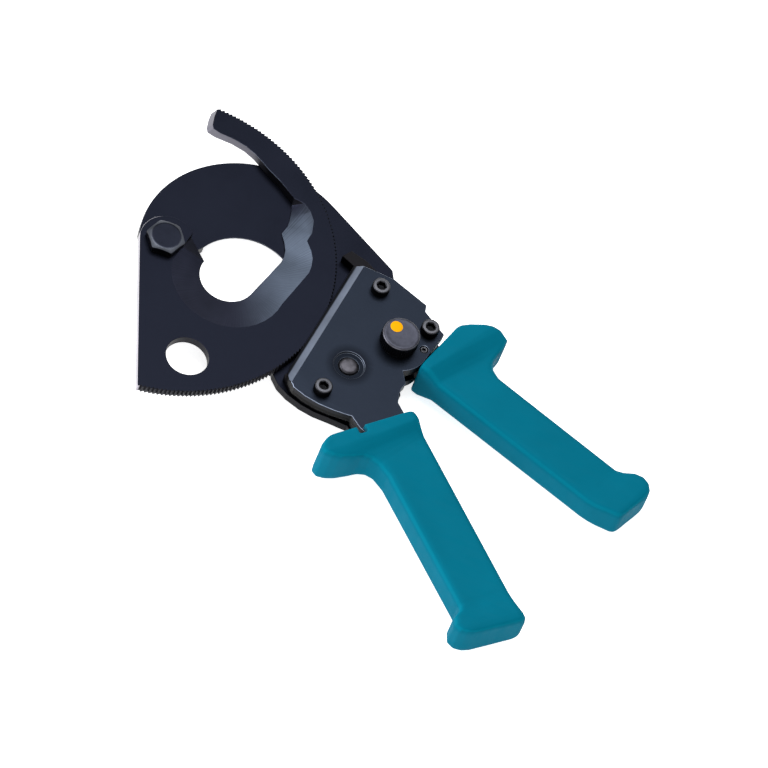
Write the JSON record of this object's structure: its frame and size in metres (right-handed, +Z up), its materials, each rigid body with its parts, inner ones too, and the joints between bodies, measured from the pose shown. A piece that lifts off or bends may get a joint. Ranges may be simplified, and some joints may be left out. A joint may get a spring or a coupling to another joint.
{
  "type": "ratchet cable cutter",
  "caption": "Hand ratchet cable cutter with two hooked blades, a toothed moving blade driven by a pawl, a release knob and two moulded grips.",
  "frame": {"origin": "centre of the blade pivot bolt's end face, on the surface that the tool lies on", "axes": "+Z up through the stack of plates towards the cover and the knob; +X from the blade pivot towards the handles; +Y towards the top of the hooked blades"},
  "size_m": [0.2619, 0.2157, 0.0276],
  "materials": {
    "blade_steel": "dark blue-grey ground and blackened, satin",
    "cover_steel": "dark slate, satin",
    "black_oxide": "black oxide, matt",
    "bright_steel": "turned or ground, bright",
    "bolt_steel": "dark grey with bright edges",
    "knob_grey": "grey, knurled side",
    "bronze": "bearing bronze",
    "grip_teal": "moulded, soft satin",
    "index_yellow": "flush moulded dot"
  },
  "bodies": {
    "frame": {"fixed_blade": "blade_steel", "front_cover": "cover_steel", "upper_spacer": "cover_steel", "lower_spacer": "cover_steel", "handle_stop_sleeve": "bright_steel", "fixed_tang": "black_oxide", "tang_rivet_1": "bright_steel", "tang_rivet_2": "bright_steel", "fixed_grip": "grip_teal", "pivot_bolt": "bolt_steel", "pivot_nut": "bolt_steel", "cover_screw_upper": "black_oxide", "cover_screw_lower": "black_oxide", "cover_screw_right": "black_oxide", "cover_grub_screw": "black_oxide", "holding_pawl_pin": "bright_steel", "pawl_pin_clip": "bright_steel", "handle_pivot_pin": "bright_steel", "handle_return_spring": "bright_steel", "holding_pawl_spring": "bright_steel"},
    "moving_blade": {"moving_blade": "blade_steel", "pivot_bush": "bronze"},
    "moving_handle": {"moving_tang": "black_oxide", "moving_grip": "grip_teal", "drive_pawl_pin": "bright_steel", "drive_pawl_spring": "bright_steel"},
    "drive_pawl": {"drive_pawl": "bright_steel"},
    "holding_pawl": {"holding_pawl": "bright_steel", "pawl_lift_arm": "bright_steel", "lift_arm_rivet": "bright_steel"},
    "release_knob": {"release_knob": "knob_grey", "knob_index_dot": "index_yellow", "release_cam": "bright_steel"}
  },
  "joints": [
    {"name": "blade_pivot", "type": "hinge", "parent": "frame", "child": "moving_blade", "pos_m": [0, 0, 0.01155], "axis": [0, 0, 1], "range_deg": [-110, 58]},
    {"name": "handle_pivot", "type": "hinge", "parent": "frame", "child": "moving_handle", "pos_m": [0.1161, -0.0036, 0.01155], "axis": [0, 0, 1], "range_deg": [-24, 0], "stiffness_Nm_per_rad": 1.2, "springref_deg": 17.19, "deforming": ["handle_return_spring"]},
    {"name": "drive_pawl_pivot", "type": "hinge", "parent": "moving_handle", "child": "drive_pawl", "pos_m": [0.097, -0.0105, 0.01155], "axis": [0, 0, 1], "range_deg": [-10, 0], "stiffness_Nm_per_rad": 0.05, "springref_deg": 11.46, "deforming": ["drive_pawl_spring"]},
    {"name": "release_knob_turn", "type": "hinge", "parent": "frame", "child": "release_knob", "pos_m": [0.1161, -0.0036, 0.0234], "axis": [0, 0, 1], "range_deg": [0, 33], "stiffness_Nm_per_rad": 0.05, "springref_deg": -11.46},
    {"name": "holding_pawl_pivot", "type": "hinge", "parent": "frame", "child": "holding_pawl", "pos_m": [0.1, -0.0255, 0.01155], "axis": [0, 0, 1], "range_deg": [-13, 0], "deforming": ["holding_pawl_spring"]}
  ],
  "couplings": [
    {"joint": "holding_pawl_pivot", "follows": "release_knob_turn", "ratio": -0.36}
  ]
}
